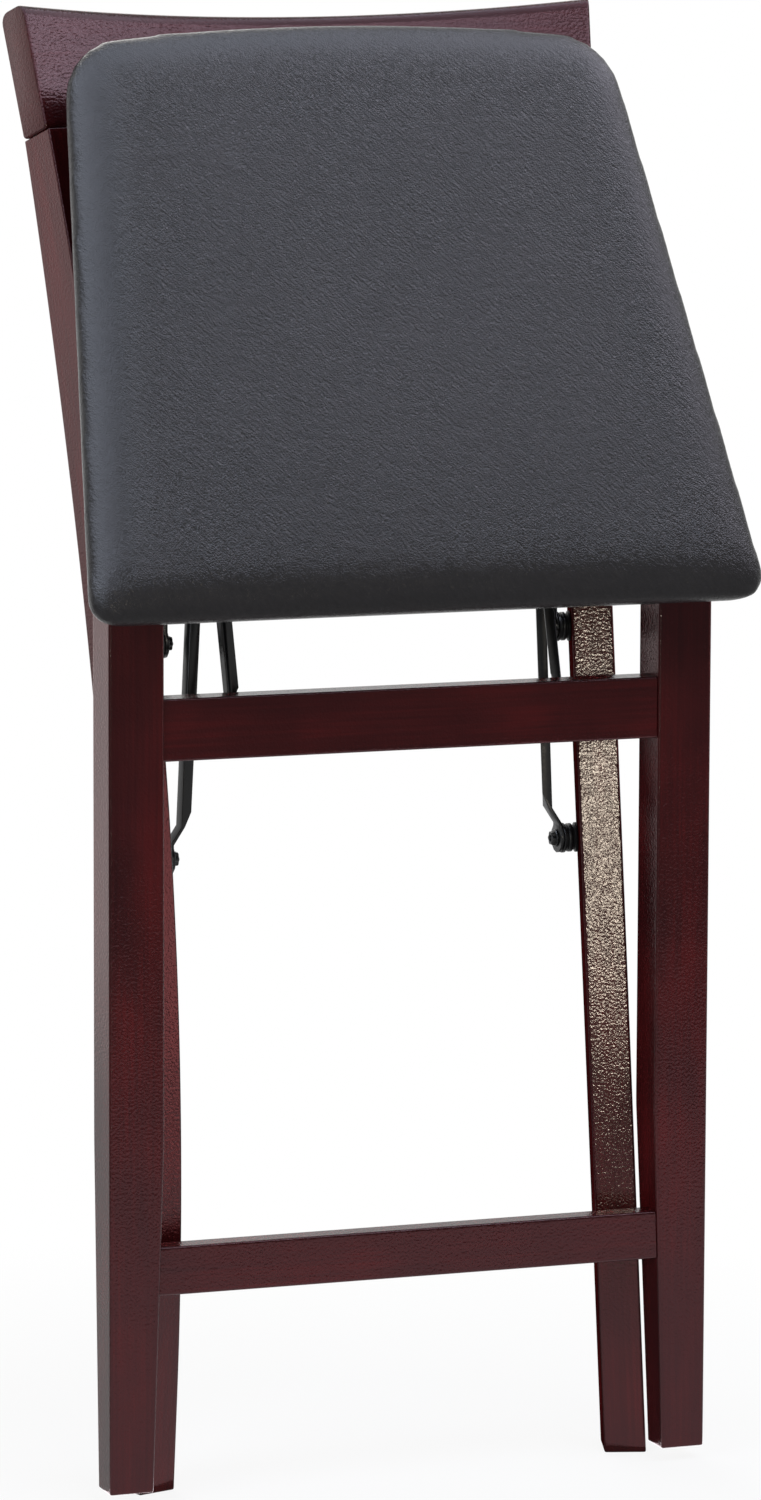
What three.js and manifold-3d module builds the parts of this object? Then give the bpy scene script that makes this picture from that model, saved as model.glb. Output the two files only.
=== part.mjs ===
// A folding bar stool with a padded seat and a curved back, shown folded flat.
// Sizes are in millimetres. X runs across the stool, Y from its front to its back, and Z is up.
// The front feet stand at Z = 0 until the whole is set on the floor. Pieces of the right side are made once and mirrored for the left side.
import * as THREE from "three";
import { mergeVertices } from "three/addons/utils/BufferGeometryUtils.js";
import Module from "manifold-3d";

const wasm = await Module();
wasm.setup();

const degree = Math.PI / 180;

// Clearances, and how finely round forms are cut.
const touchGap = 0.3;
const boreGap = 0.35;
const slideGap = 0.4;
const overrun = 6;
const cornerSteps = 2;
const roundSteps = 20;

// Front frame: two straight legs that taper at the foot, an apron and a foot stretcher.
const frame = {
  width: 425.2,
  legWidth: 38,
  legDepth: 35,
  footWidth: 30.4,
  footDepth: 26,
  taperHeight: 235,
  hingeHeight: 590,
  headRise: 15,
  edge: 1.5,
  apronDrop: 59,
  apronHeight: 41.5,
  apronThickness: 20.5,
  apronSetback: 2,
  stretcherTop: 165,
  stretcherHeight: 32.7,
  stretcherThickness: 17,
  stretcherSetback: 2,
};

// Rear frame: two sabre legs that run up into the back posts, turned in to follow the curved back.
const rear = {
  toeIn: 17.3 * degree,
  footSetback: 82,
  footDrop: 9.3,
  footSpan: 136.6,
  spanDraw: 42,
  spanEase: 9.3,
  legWidth: 28.6,
  footDepth: 34.6,
  topDepth: 30.5,
  swell: 8,
  straightHeight: 60,
  bendRadius: 2400,
  postHeight: 894.5,
  edge: 1.6,
  crestOverhang: 2,
  crestHeight: 88,
  crestThickness: 28,
  crestDip: 12,
  crestTopEdge: 8,
  crestEdge: 3,
  railHeight: 36,
  railThickness: 18,
  railTop: 722,
  railSetback: 8,
};

// Seat: a board under a padded cushion, hung on the front legs and leaning back when folded.
const seat = {
  lean: 27.8 * degree,
  underside: 18.2,
  boardThickness: 10,
  boardInset: 10,
  overhang: 28.5,
  length: 424.5,
  frontWidth: 466,
  backWidth: 390,
  frontCorner: 22,
  backCorner: 50,
  backRadius: 1460,
  padHeight: 36.2,
  padCrown: 8,
  padTuck: 7,
  padShoulder: 10,
};

// Linkage: pivot places in the folded stool, seen from the side. Drops are below the seat's hinge.
const linkage = {
  upperBoltDepth: 107,
  upperBoltDrop: 36.5,
  lowerBoltDepth: 94,
  lowerBoltDrop: 180.5,
  tieDepth: 35.5,
  tieDrop: 78,
  braceStation: 159.99,
  supportStation: 198.85,
  tieJoinShare: 0.87924,
};

// Steel parts.
const steel = {
  plate: 2.6,
  barDepth: 12,
  flange: 4.4,
  flangeThickness: 2,
  endRadius: 10,
  pinRadius: 3,
  headRadius: 6,
  headHeight: 4.2,
  headEdge: 1.2,
  spacerRadius: 10.2,
  screwReach: 18,
  bracketDrop: 9,
  bracketFoot: 20,
};

// Where the steel plates lie across the stool, measured from its middle.
const across = {
  seatBracket: 125.2,
  boltPlate: 138.5,
  braceBend: 130.7,
  tieStandoff: 3.8,
};

// Turns a three.js geometry into a solid for cutting and joining.
function solidOf(geometry) {
  const bare = geometry.clone();
  bare.deleteAttribute("normal");
  bare.deleteAttribute("uv");
  const merged = mergeVertices(bare, 1e-4);
  const solid = new wasm.Manifold(
    new wasm.Mesh({
      numProp: 3,
      vertProperties: new Float32Array(merged.attributes.position.array),
      triVerts: new Uint32Array(merged.index.array),
    }),
  );
  if (solid.volume() < 0) throw new Error("a solid is inside out");
  return solid;
}

// Turns a solid back into a geometry with flat faces.
function geometryOf(solid) {
  const mesh = solid.getMesh();
  const geometry = new THREE.BufferGeometry();
  const places = new THREE.BufferAttribute(new Float32Array(mesh.vertProperties), 3);
  geometry.setAttribute("position", places);
  geometry.setIndex(new THREE.BufferAttribute(new Uint32Array(mesh.triVerts), 1));
  const faceted = geometry.toNonIndexed();
  faceted.computeVertexNormals();
  return faceted;
}

// A closed solid through rings of points, with flat ends. Its faces are turned to point out.
function loft(rings) {
  const count = rings[0].length;
  const places = rings.flat().flatMap((p) => [p.x, p.y, p.z]);
  const faces = [];
  for (let r = 0; r + 1 < rings.length; r++) {
    for (let i = 0; i < count; i++) {
      const a = r * count + i;
      const b = r * count + ((i + 1) % count);
      faces.push(a, b, b + count, a, b + count, a + count);
    }
  }
  for (const [start, turn] of [
    [0, 1],
    [(rings.length - 1) * count, -1],
  ]) {
    for (let i = 1; i + 1 < count; i++) {
      const pair = turn > 0 ? [start + i + 1, start + i] : [start + i, start + i + 1];
      faces.push(start, ...pair);
    }
  }
  const corner = (k) => new THREE.Vector3().fromArray(places, 3 * k);
  let volume = 0;
  for (let f = 0; f < faces.length; f += 3) {
    volume += corner(faces[f]).dot(corner(faces[f + 1]).cross(corner(faces[f + 2])));
  }
  if (volume < 0) faces.reverse();
  const geometry = new THREE.BufferGeometry();
  geometry.setAttribute("position", new THREE.Float32BufferAttribute(places, 3));
  geometry.setIndex(faces);
  return geometry;
}

// Points of a rectangle with rounded corners, from (0, 0) to (width, depth).
function roundedRectangle(width, depth, radius) {
  const points = [];
  const corners = [
    [width - radius, radius, -90],
    [width - radius, depth - radius, 0],
    [radius, depth - radius, 90],
    [radius, radius, 180],
  ];
  for (const [x, y, start] of corners) {
    for (let k = 0; k <= cornerSteps; k++) {
      const angle = (start + (90 * k) / cornerSteps) * degree;
      points.push([x + radius * Math.cos(angle), y + radius * Math.sin(angle)]);
    }
  }
  return points;
}

// An outline in Y and Z, extruded across the stool from one X to another.
function extrudeAcross(points, from, to) {
  const shape = new THREE.Shape(points.map(([y, z]) => new THREE.Vector2(y, z)));
  const geometry = new THREE.ExtrudeGeometry(shape, { depth: to - from, bevelEnabled: false });
  const basis = new THREE.Matrix4().makeBasis(
    new THREE.Vector3(0, 1, 0),
    new THREE.Vector3(0, 0, 1),
    new THREE.Vector3(1, 0, 0),
  );
  return geometry.applyMatrix4(basis).translate(from, 0, 0);
}

// An outline in X and Z, extruded from front to back from one Y to another.
function extrudeBack(points, from, to) {
  const shape = new THREE.Shape(points.map(([x, z]) => new THREE.Vector2(x, z)));
  const geometry = new THREE.ExtrudeGeometry(shape, { depth: to - from, bevelEnabled: false });
  return geometry.rotateX(90 * degree).translate(0, to, 0);
}

// A round bar along X.
function barAcross(radius, from, to, y, z) {
  const bar = new THREE.CylinderGeometry(radius, radius, to - from, roundSteps);
  return bar.rotateZ(90 * degree).translate((from + to) / 2, y, z);
}

// A plate outline with two round ends, from the pivot at (0, 0) to the one at (0, length).
function roundEnded(length, radius, half) {
  const points = [];
  const turn = Math.acos(half / radius);
  const steps = 10;
  for (let k = 0; k <= steps; k++) {
    const angle = -turn + ((Math.PI + 2 * turn) * k) / steps;
    points.push([radius * Math.cos(angle), length + radius * Math.sin(angle)]);
  }
  for (let k = 0; k <= steps; k++) {
    const angle = Math.PI - turn + ((Math.PI + 2 * turn) * k) / steps;
    points.push([radius * Math.cos(angle), radius * Math.sin(angle)]);
  }
  return points;
}

// A bolt along X: a domed head from headFace towards the middle, and a shank out to tip.
function bolt(headFace, tip, y, z) {
  const { headRadius, headHeight, headEdge, pinRadius } = steel;
  const profile = [new THREE.Vector2(0, headHeight)];
  const domeSteps = 5;
  for (let k = 1; k <= domeSteps; k++) {
    const angle = 90 * (1 - k / domeSteps) * degree;
    const rise = headEdge + (headHeight - headEdge) * Math.sin(angle);
    profile.push(new THREE.Vector2(headRadius * Math.cos(angle), rise));
  }
  profile.push(new THREE.Vector2(headRadius, 0));
  profile.push(new THREE.Vector2(pinRadius, 0));
  profile.push(new THREE.Vector2(pinRadius, headFace - tip));
  profile.push(new THREE.Vector2(0, headFace - tip));
  profile.reverse();
  const shape = new THREE.LatheGeometry(profile, roundSteps);
  return shape.rotateZ(90 * degree).translate(headFace, y, z);
}

// The front leg's inner face at a height: upright, then drawn out to the narrower foot.
function frontInner(z) {
  const taper = Math.max(0, 1 - z / frame.taperHeight);
  return frame.width / 2 - frame.legWidth + (frame.legWidth - frame.footWidth) * taper;
}

const hinge = new THREE.Vector2(frame.legDepth / 2, frame.hingeHeight);

function frontLeg() {
  const outer = frame.width / 2;
  const top = frame.hingeHeight + frame.headRise;
  const levels = [0, frame.taperHeight, frame.hingeHeight];
  const headSteps = 6;
  for (let k = 1; k <= headSteps; k++) {
    const angle = (90 * k) / (headSteps + 0.5);
    levels.push(frame.hingeHeight + frame.headRise * Math.sin(angle * degree));
  }
  const rings = levels.map((z) => {
    const taper = Math.max(0, 1 - z / frame.taperHeight);
    const depth = frame.legDepth - (frame.legDepth - frame.footDepth) * taper;
    const rise = Math.max(0, z - frame.hingeHeight) / (top - frame.hingeHeight);
    const half = (depth / 2) * Math.sqrt(1 - rise * rise);
    const middle = depth / 2;
    const inner = frontInner(z);
    const radius = Math.min(frame.edge, half / 2);
    return roundedRectangle(outer - inner, 2 * half, radius).map(
      ([x, y]) => new THREE.Vector3(inner + x, middle - half + y, z),
    );
  });
  const inner = frontInner(frame.hingeHeight);
  const reach = inner + steel.screwReach + touchGap;
  const bore = barAcross(
    steel.pinRadius + boreGap, inner - overrun, reach, hinge.x, hinge.y);
  return geometryOf(solidOf(loft(rings)).subtract(solidOf(bore)));
}

// A rail between the front legs, whose ends follow the legs' inner faces.
function frontRail(top, height, thickness, setback) {
  const upper = frontInner(top) - touchGap;
  const lower = frontInner(top - height) - touchGap;
  const section = [
    [-upper, top],
    [-lower, top - height],
    [lower, top - height],
    [upper, top],
  ];
  return extrudeBack(section, setback, setback + thickness);
}

// The rear leg's front face at a height, measured along the leg's own depth.
function rearFront(z) {
  const rise = Math.max(0, z - rear.straightHeight);
  const r = rear.bendRadius;
  return rear.footSetback + r - Math.sqrt(r * r - rise * rise);
}

// The rear leg's tilt from upright at a height, and its inner face measured across itself.
const rearTilt = (z) => Math.asin(Math.max(0, z - rear.straightHeight) / rear.bendRadius);

function rearInner(z) {
  const share = z / rear.postHeight;
  return rear.footSpan - rear.spanDraw * share + rear.spanEase * share * share;
}

function rearDepth(z) {
  const share = z / rear.postHeight;
  const swell = rear.swell * Math.sin(Math.PI * share * share);
  return rear.footDepth + (rear.topDepth - rear.footDepth) * share + swell;
}

// A point of the rear frame from its depth and its reach across, both along the toed-in leg.
function toed(depth, reach, z) {
  const c = Math.cos(rear.toeIn);
  const s = Math.sin(rear.toeIn);
  return new THREE.Vector3(depth * s + reach * c, depth * c - reach * s, z);
}

// The rear leg with its inner face moved in by a margin, before any hole is made.
function rearLegBlank(margin) {
  const steps = 16;
  const rings = [];
  for (let k = 0; k <= steps; k++) {
    const z = (rear.postHeight - touchGap + rear.footDrop) * (k / steps) - rear.footDrop;
    const tilt = rearTilt(z);
    const width = rear.legWidth + margin;
    rings.push(
      roundedRectangle(width, rearDepth(z), rear.edge).map(([v, d]) => {
        const level = z - d * Math.sin(tilt);
        const reach = rearInner(level) - margin + v;
        return toed(rearFront(z) + d * Math.cos(tilt), reach, level);
      }),
    );
  }
  return loft(rings);
}

function rearLeg() {
  let leg = solidOf(rearLegBlank(0));
  for (const { x: y, y: z } of [upperBolt, lowerBolt]) {
    const tip = boltTip(y, z) + touchGap;
    const bore = barAcross(steel.pinRadius + boreGap, across.boltPlate, tip, y, z);
    leg = leg.subtract(solidOf(bore));
  }
  return geometryOf(leg);
}

// The X of the rear leg's inner face at a depth and a height, and where a bolt into it ends.
function rearFaceX(y, z) {
  return (rearInner(z) + y * Math.sin(rear.toeIn)) / Math.cos(rear.toeIn);
}

const boltTip = (y, z) => rearFaceX(y, z) + steel.screwReach;

// A curved cross piece of the rear frame. Each level is an arc that meets both legs squarely:
// the arc's centre lies on the middle plane, and its ends lie at the given reach.
function bent(depth, reach, z, share) {
  const s = Math.sin(rear.toeIn);
  const c = Math.cos(rear.toeIn);
  const centre = -reach / s;
  const radius = depth - centre * c;
  const angle = rear.toeIn * share;
  return new THREE.Vector3(radius * Math.sin(angle), centre + radius * Math.cos(angle), z);
}

// The crest rail stands on the posts and goes on at their tilt. Its top edge dips in the middle.
function crestRail() {
  const tilt = rearTilt(rear.postHeight);
  const steps = 24;
  const rings = [];
  for (let k = 0; k <= steps; k++) {
    const share = (2 * k) / steps - 1;
    const height = rear.crestHeight - rear.crestDip * (1 - share * share);
    rings.push(
      crestSection(height).map(([d, r]) => {
        const depth = rearFront(rear.postHeight) + r * Math.sin(tilt) + d * Math.cos(tilt);
        const level = rear.postHeight + r * Math.cos(tilt) - d * Math.sin(tilt);
        const reach = rearInner(level) + rear.legWidth + rear.crestOverhang;
        return bent(depth, reach, level, share);
      }),
    );
  }
  return loft(rings);
}

// The crest's section: small edges below and larger ones on top.
function crestSection(height) {
  const points = [];
  const t = rear.crestThickness;
  const low = rear.crestEdge;
  const high = rear.crestTopEdge;
  const corners = [
    [t - low, low, low, -90],
    [t - high, height - high, high, 0],
    [high, height - high, high, 90],
    [low, low, low, 180],
  ];
  for (const [x, y, radius, start] of corners) {
    for (let k = 0; k <= cornerSteps + 1; k++) {
      const angle = (start + (90 * k) / (cornerSteps + 1)) * degree;
      points.push([x + radius * Math.cos(angle), y + radius * Math.sin(angle)]);
    }
  }
  return points;
}

// The lower back rail fits between the posts.
function backRail() {
  const steps = 12;
  const rings = [];
  for (let k = 0; k <= steps; k++) {
    const share = (2 * k) / steps - 1;
    rings.push(
      roundedRectangle(rear.railThickness, rear.railHeight, rear.edge).map(([d, r]) => {
        const level = rear.railTop - r;
        const depth = rearFront(level) + rear.railSetback + d;
        return bent(depth, rearInner(level) - touchGap, level, share);
      }),
    );
  }
  return loft(rings);
}

// The seat's plan outline, drawn in by an inset: straight sides, round corners and a bowed rear edge.
// Y runs to the back from the hinge line. The rear corners touch the side lines and the rear arc.
function seatOutline(inset, steps) {
  const half = (seat.frontWidth - seat.backWidth) / 2;
  const slope = Math.atan(half / seat.length);
  const rim = seat.frontWidth / 2;
  const beside = (radius, y) => rim - (radius + Math.sin(slope) * y) / Math.cos(slope);
  const bowCentre = seat.length - seat.backRadius;
  let cornerY = seat.length - seat.backCorner;
  const rounds = 12;
  for (let k = 0; k < rounds; k++) {
    const x = beside(seat.backCorner, cornerY);
    cornerY = bowCentre + Math.sqrt((seat.backRadius - seat.backCorner) ** 2 - x * x);
  }
  const cornerX = beside(seat.backCorner, cornerY);
  const bow = Math.atan2(cornerX, cornerY - bowCentre);
  const side = Math.PI / 2 - slope;
  const points = [];
  for (const [radius, x, y, first, last] of [
    [seat.frontCorner, beside(seat.frontCorner, seat.frontCorner), seat.frontCorner, Math.PI, side],
    [seat.backCorner, cornerX, cornerY, side, bow],
    [seat.backRadius, 0, bowCentre, bow, 0],
  ]) {
    const arcSteps = radius > seat.length ? steps / 2 : steps;
    const from = radius > seat.length ? 1 : 0;
    for (let k = from; k <= arcSteps; k++) {
      const angle = first + ((last - first) * k) / arcSteps;
      const round = radius - inset;
      points.push([x + round * Math.sin(angle), y + round * Math.cos(angle) - seat.overhang]);
    }
  }
  const mirrored = points.slice(0, -1).map(([x, y]) => [-x, y]).reverse();
  return [...points, ...mirrored];
}

function seatBoard() {
  const rings = [seat.underside, seat.underside + seat.boardThickness].map((z) =>
    seatOutline(seat.boardInset, 6).map(([x, y]) => new THREE.Vector3(x, y, z)),
  );
  return loft(rings);
}

// The cushion: a flat base, full drawn-in sides, and a crown that is highest in the middle.
function seatPad() {
  const base = seat.underside + seat.boardThickness + touchGap;
  const sideShares = [
    [1, 0],
    [0.25, 0.14],
    [0, 0.4],
    [0.12, 0.62],
    [0.5, 0.82],
    [1.15, 0.95],
  ];
  const rings = sideShares.map(([drawShare, riseShare]) =>
    seatOutline(seat.padTuck * drawShare, 8).map(
      ([x, y]) => new THREE.Vector3(x, y, base + seat.padHeight * riseShare),
    ),
  );
  const middle = seat.length / 2 - seat.overhang;
  for (const share of [0.93, 0.84, 0.68, 0.46, 0.22, 0.04]) {
    const crown = seat.padHeight + seat.padCrown * (1 - share * share);
    rings.push(
      seatOutline(seat.padShoulder, 8).map(
        ([x, y]) => new THREE.Vector3(x * share, middle + (y - middle) * share, base + crown),
      ),
    );
  }
  return loft(rings);
}

// A folded steel bar: a strip that follows a line in X and Z, with round ends,
// and a front flange over its straight part.
function linkBar(length, line, flangeFrom, flangeTo) {
  const plate = steel.plate;
  const half = steel.barDepth / 2;
  const inner = line.map(([x, z]) => [x, z]);
  const outer = line.map(([x, z]) => [x + plate, z]).reverse();
  const strip = solidOf(extrudeBack([...outer, ...inner].reverse(), -overrun - half, overrun + half));
  const reach = line.map(([x]) => x);
  const low = Math.min(...reach) - overrun;
  const high = Math.max(...reach) + plate + overrun;
  const outline = solidOf(extrudeAcross(roundEnded(length, steel.endRadius, half), low, high));
  let bar = strip.intersect(outline);
  if (flangeTo > flangeFrom) {
    const at = (z) => {
      const next = line.findIndex(([, level]) => level >= z);
      const [x0, z0] = line[next - 1];
      const [x1, z1] = line[next];
      return x0 + ((x1 - x0) * (z - z0)) / (z1 - z0);
    };
    const overlap = plate / 2;
    const corners = [
      [at(flangeFrom) - steel.flange, flangeFrom],
      [at(flangeFrom) + overlap, flangeFrom],
      [at(flangeTo) + overlap, flangeTo],
      [at(flangeTo) - steel.flange, flangeTo],
    ];
    bar = bar.add(solidOf(extrudeBack(corners, -half, -half + steel.flangeThickness)));
  }
  for (const z of [0, length]) {
    const bore = barAcross(steel.pinRadius + boreGap, low, high, 0, z);
    bar = bar.subtract(solidOf(bore));
  }
  return bar;
}

// Pivots in the side view, as (depth, height), and the links' lengths and turns between them.
const along = new THREE.Vector2(Math.sin(seat.lean), Math.cos(seat.lean));
const seatPivot = (station) => hinge.clone().addScaledVector(along, station);
const below = (depth, drop) => new THREE.Vector2(depth, frame.hingeHeight - drop);
const upperBolt = below(linkage.upperBoltDepth, linkage.upperBoltDrop);
const lowerBolt = below(linkage.lowerBoltDepth, linkage.lowerBoltDrop);
const bracePivot = seatPivot(linkage.braceStation);
const supportPivot = seatPivot(linkage.supportStation);
const tiePivot = below(linkage.tieDepth, linkage.tieDrop);
const tieJoin = lowerBolt.clone().lerp(bracePivot, linkage.tieJoinShare);

// Plate places across the stool, each one plate and one sliding gap from the next.
const step = steel.plate + slideGap;
const braceTop = across.seatBracket - step;
const supportTop = across.seatBracket + step;
const tiePlate = braceTop - step - across.tieStandoff;
const tieBracket = tiePlate + step;

// Link bars in their own frames: the lower pivot at the origin, the upper one straight above.
function braceLink() {
  const length = bracePivot.distanceTo(lowerBolt);
  const bendLow = steel.endRadius;
  const bendHigh = bendLow + steel.barDepth;
  const topStraight = length - linkage.supportStation / 2;
  const line = [
    [across.boltPlate, -steel.endRadius - overrun],
    [across.boltPlate, bendLow],
    [across.braceBend, bendHigh],
    [braceTop, topStraight],
    [braceTop, length + steel.endRadius + overrun],
  ];
  return geometryOf(linkBar(length, line, bendHigh, topStraight));
}

function supportLink() {
  const length = supportPivot.distanceTo(upperBolt);
  const bendLow = length / 3;
  const line = [
    [across.boltPlate, -steel.endRadius - overrun],
    [across.boltPlate, bendLow],
    [supportTop, bendLow + steel.barDepth],
    [supportTop, length + steel.endRadius + overrun],
  ];
  return geometryOf(linkBar(length, line, 0, 0));
}

function tieLink() {
  const length = tieJoin.distanceTo(tiePivot);
  const ends = steel.endRadius + overrun;
  const line = [
    [tiePlate, -ends],
    [tiePlate, length + ends],
  ];
  const inset = steel.endRadius * 2;
  return geometryOf(linkBar(length, line, inset, length - inset));
}

// The bracket behind the apron: a foot plate against the wood and an ear for the tie link.
function tieBracketPiece() {
  const back = frame.apronSetback + frame.apronThickness + touchGap;
  const half = steel.endRadius + steel.flange;
  const ear = [[back, tiePivot.y - half]];
  const steps = 8;
  for (let k = 0; k <= steps; k++) {
    const angle = (-90 + (180 * k) / steps) * degree;
    ear.push([
      tiePivot.x + steel.endRadius * Math.cos(angle),
      tiePivot.y + steel.endRadius * Math.sin(angle),
    ]);
  }
  ear.push([back, tiePivot.y + half]);
  const earSolid = solidOf(extrudeAcross(ear, tieBracket, tieBracket + steel.plate));
  const foot = [
    [back, tiePivot.y - half],
    [back + steel.plate, tiePivot.y - half],
    [back + steel.plate, tiePivot.y + half],
    [back, tiePivot.y + half],
  ];
  const footSolid = solidOf(extrudeAcross(foot, tieBracket, tieBracket + steel.bracketFoot));
  const bore = barAcross(
    steel.pinRadius + boreGap, tiePlate, tieBracket + steel.bracketFoot, tiePivot.x, tiePivot.y);
  return geometryOf(earSolid.add(footSolid).subtract(solidOf(bore)));
}

// A bracket under the seat board, in the seat's frame: a foot against the board,
// and a web down to the pivots at the given stations.
function seatBracket(stations, face, side) {
  const top = seat.underside - touchGap;
  const first = stations[0] - steel.endRadius * 1.5;
  const last = stations[stations.length - 1] + steel.endRadius * 1.5;
  const radius = steel.bracketDrop;
  const web = [[last, top]];
  web.push([first, top]);
  const steps = 8;
  const low = stations[0];
  const high = stations[stations.length - 1];
  for (let k = 0; k <= steps; k++) {
    const angle = (180 + (90 * k) / steps) * degree;
    web.push([low + radius * Math.cos(angle), radius * Math.sin(angle)]);
  }
  for (let k = 0; k <= steps; k++) {
    const angle = (-90 + (90 * k) / steps) * degree;
    web.push([high + radius * Math.cos(angle), radius * Math.sin(angle)]);
  }
  const webSolid = solidOf(extrudeAcross(web, face, face + steel.plate));
  const foot = [
    [first, top],
    [first, top - steel.plate],
    [last, top - steel.plate],
    [last, top],
  ];
  const from = side < 0 ? face - steel.bracketFoot : face;
  const to = side < 0 ? face + steel.plate : face + steel.bracketFoot;
  let bracket = webSolid.add(solidOf(extrudeAcross(foot, from, to)));
  for (const station of stations) {
    const bore = barAcross(steel.pinRadius + boreGap, from - overrun, to + overrun, station, 0);
    bracket = bracket.subtract(solidOf(bore));
  }
  return geometryOf(bracket);
}

// A spacer on a rear bolt, cut to the slant of the leg's inner face.
function spacer(y, z) {
  const from = across.boltPlate + steel.plate + slideGap;
  const to = rearFaceX(y, z) + steel.spacerRadius;
  const tube = solidOf(barAcross(steel.spacerRadius, from, to, y, z));
  const bore = solidOf(barAcross(steel.pinRadius + boreGap, from - overrun, to + overrun, y, z));
  return geometryOf(tube.subtract(bore).subtract(solidOf(rearLegBlank(touchGap))));
}

// Materials.
const wood = new THREE.MeshStandardMaterial({ color: 0x42201f, roughness: 0.35, metalness: 0 });
const vinyl = new THREE.MeshStandardMaterial({ color: 0x2b2c2f, roughness: 0.55, metalness: 0 });
const blackSteel = new THREE.MeshStandardMaterial({
  color: 0x2c2c2e,
  roughness: 0.4,
  metalness: 0.6,
});
const plywood = new THREE.MeshStandardMaterial({ color: 0x1d1a19, roughness: 0.8, metalness: 0 });

const stool = new THREE.Group();
const model = new THREE.Group();
stool.add(model);

// A frame turned about X, with its origin at a pivot of the side view.
function pivotGroup(pivot, turn) {
  const group = new THREE.Group();
  group.position.set(0, pivot.x, pivot.y);
  group.rotation.x = turn;
  model.add(group);
  return group;
}

function place(group, name, geometry, material) {
  const mesh = new THREE.Mesh(geometry, material);
  mesh.name = name;
  group.add(mesh);
  return mesh;
}

// A piece of the right side and its mirror image on the left.
function placePair(group, name, geometry, material) {
  place(group, `${name}_right`, geometry, material);
  place(group, `${name}_left`, geometry, material).scale.x = -1;
}

const seatFrame = pivotGroup(hinge, 90 * degree - seat.lean);
const leanOf = (from, to) => -Math.atan2(to.x - from.x, to.y - from.y);
const braceFrame = pivotGroup(lowerBolt, leanOf(lowerBolt, bracePivot));
const supportFrame = pivotGroup(upperBolt, leanOf(upperBolt, supportPivot));
const tieFrame = pivotGroup(tiePivot, leanOf(tiePivot, tieJoin));
const braceLength = bracePivot.distanceTo(lowerBolt);
const tieLength = tieJoin.distanceTo(tiePivot);

// Front frame.
placePair(model, "front_leg", frontLeg(), wood);
place(
  model,
  "front_apron",
  frontRail(
    frame.hingeHeight - frame.apronDrop,
    frame.apronHeight,
    frame.apronThickness,
    frame.apronSetback,
  ),
  wood,
);
place(
  model,
  "foot_stretcher",
  frontRail(
    frame.stretcherTop,
    frame.stretcherHeight,
    frame.stretcherThickness,
    frame.stretcherSetback,
  ),
  wood,
);
placePair(model, "tie_bracket", tieBracketPiece(), blackSteel);
placePair(
  model,
  "tie_pin",
  bolt(tiePlate - touchGap, tieBracket + steel.plate, tiePivot.x, tiePivot.y),
  blackSteel,
);
const hingeFace = frontInner(frame.hingeHeight) - touchGap - steel.plate;
placePair(
  model,
  "seat_hinge_bolt",
  bolt(hingeFace - touchGap, hingeFace + steel.plate + steel.screwReach, hinge.x, hinge.y),
  blackSteel,
);

// Rear frame.
placePair(model, "rear_leg", rearLeg(), wood);
place(model, "crest_rail", crestRail(), wood);
place(model, "lower_back_rail", backRail(), wood);
for (const [name, { x: y, y: z }] of [
  ["upper", upperBolt],
  ["lower", lowerBolt],
]) {
  placePair(model, `${name}_spacer`, spacer(y, z), blackSteel);
  placePair(model, `${name}_bolt`, bolt(across.boltPlate - touchGap, boltTip(y, z), y, z), blackSteel);
}

// Seat.
place(seatFrame, "seat_board", seatBoard(), plywood);
place(seatFrame, "seat_pad", seatPad(), vinyl);
placePair(seatFrame, "hinge_bracket", seatBracket([0], hingeFace, -1), blackSteel);
placePair(
  seatFrame,
  "link_bracket",
  seatBracket([linkage.braceStation, linkage.supportStation], across.seatBracket, -1),
  blackSteel,
);
placePair(
  seatFrame,
  "support_pin",
  bolt(across.seatBracket - touchGap, supportTop + steel.plate, linkage.supportStation, 0),
  blackSteel,
);

// Links. The pins of the two opened pivots end flush with their own link.
placePair(braceFrame, "brace_link", braceLink(), blackSteel);
placePair(
  braceFrame, "brace_pin", bolt(braceTop - touchGap, braceTop + steel.plate, 0, braceLength), blackSteel);
placePair(supportFrame, "support_link", supportLink(), blackSteel);
placePair(tieFrame, "tie_link", tieLink(), blackSteel);
placePair(
  tieFrame, "join_pin", bolt(tiePlate - touchGap, tiePlate + steel.plate, 0, tieLength), blackSteel);

// The origin is on the floor under the middle of the folded stool, whose rear feet hang lowest.
stool.updateMatrixWorld(true);
const box = new THREE.Box3().setFromObject(model, true);
model.position.set(0, -(box.min.y + box.max.y) / 2, -box.min.z);

export default stool;
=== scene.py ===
"""Looks of the folding bar stool: rounded wood, a stuffed vinyl seat, steel fold links and a studio.

Lengths are in millimetres in the stool's own frame, X right, Y back and Z up, until a mesh is made: then they
are in metres in the frame of the CAD model.
"""

import math

import bpy
import numpy as np
from mathutils import Matrix, Vector


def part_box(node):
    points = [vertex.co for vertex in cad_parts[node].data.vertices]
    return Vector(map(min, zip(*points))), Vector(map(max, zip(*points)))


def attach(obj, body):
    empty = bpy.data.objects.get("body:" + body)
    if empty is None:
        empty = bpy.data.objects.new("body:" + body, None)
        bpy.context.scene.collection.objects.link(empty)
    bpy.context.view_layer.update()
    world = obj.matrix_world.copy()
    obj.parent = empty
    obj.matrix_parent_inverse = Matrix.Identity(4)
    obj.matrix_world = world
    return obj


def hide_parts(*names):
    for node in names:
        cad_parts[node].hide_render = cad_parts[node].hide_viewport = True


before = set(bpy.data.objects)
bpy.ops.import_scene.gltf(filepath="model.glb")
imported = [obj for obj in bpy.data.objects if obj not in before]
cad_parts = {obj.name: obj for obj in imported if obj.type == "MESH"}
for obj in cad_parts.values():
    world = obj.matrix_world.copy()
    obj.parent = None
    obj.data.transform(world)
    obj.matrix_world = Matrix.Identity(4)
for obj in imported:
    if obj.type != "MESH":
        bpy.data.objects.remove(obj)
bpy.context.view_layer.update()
scene = bpy.context.scene
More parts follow.
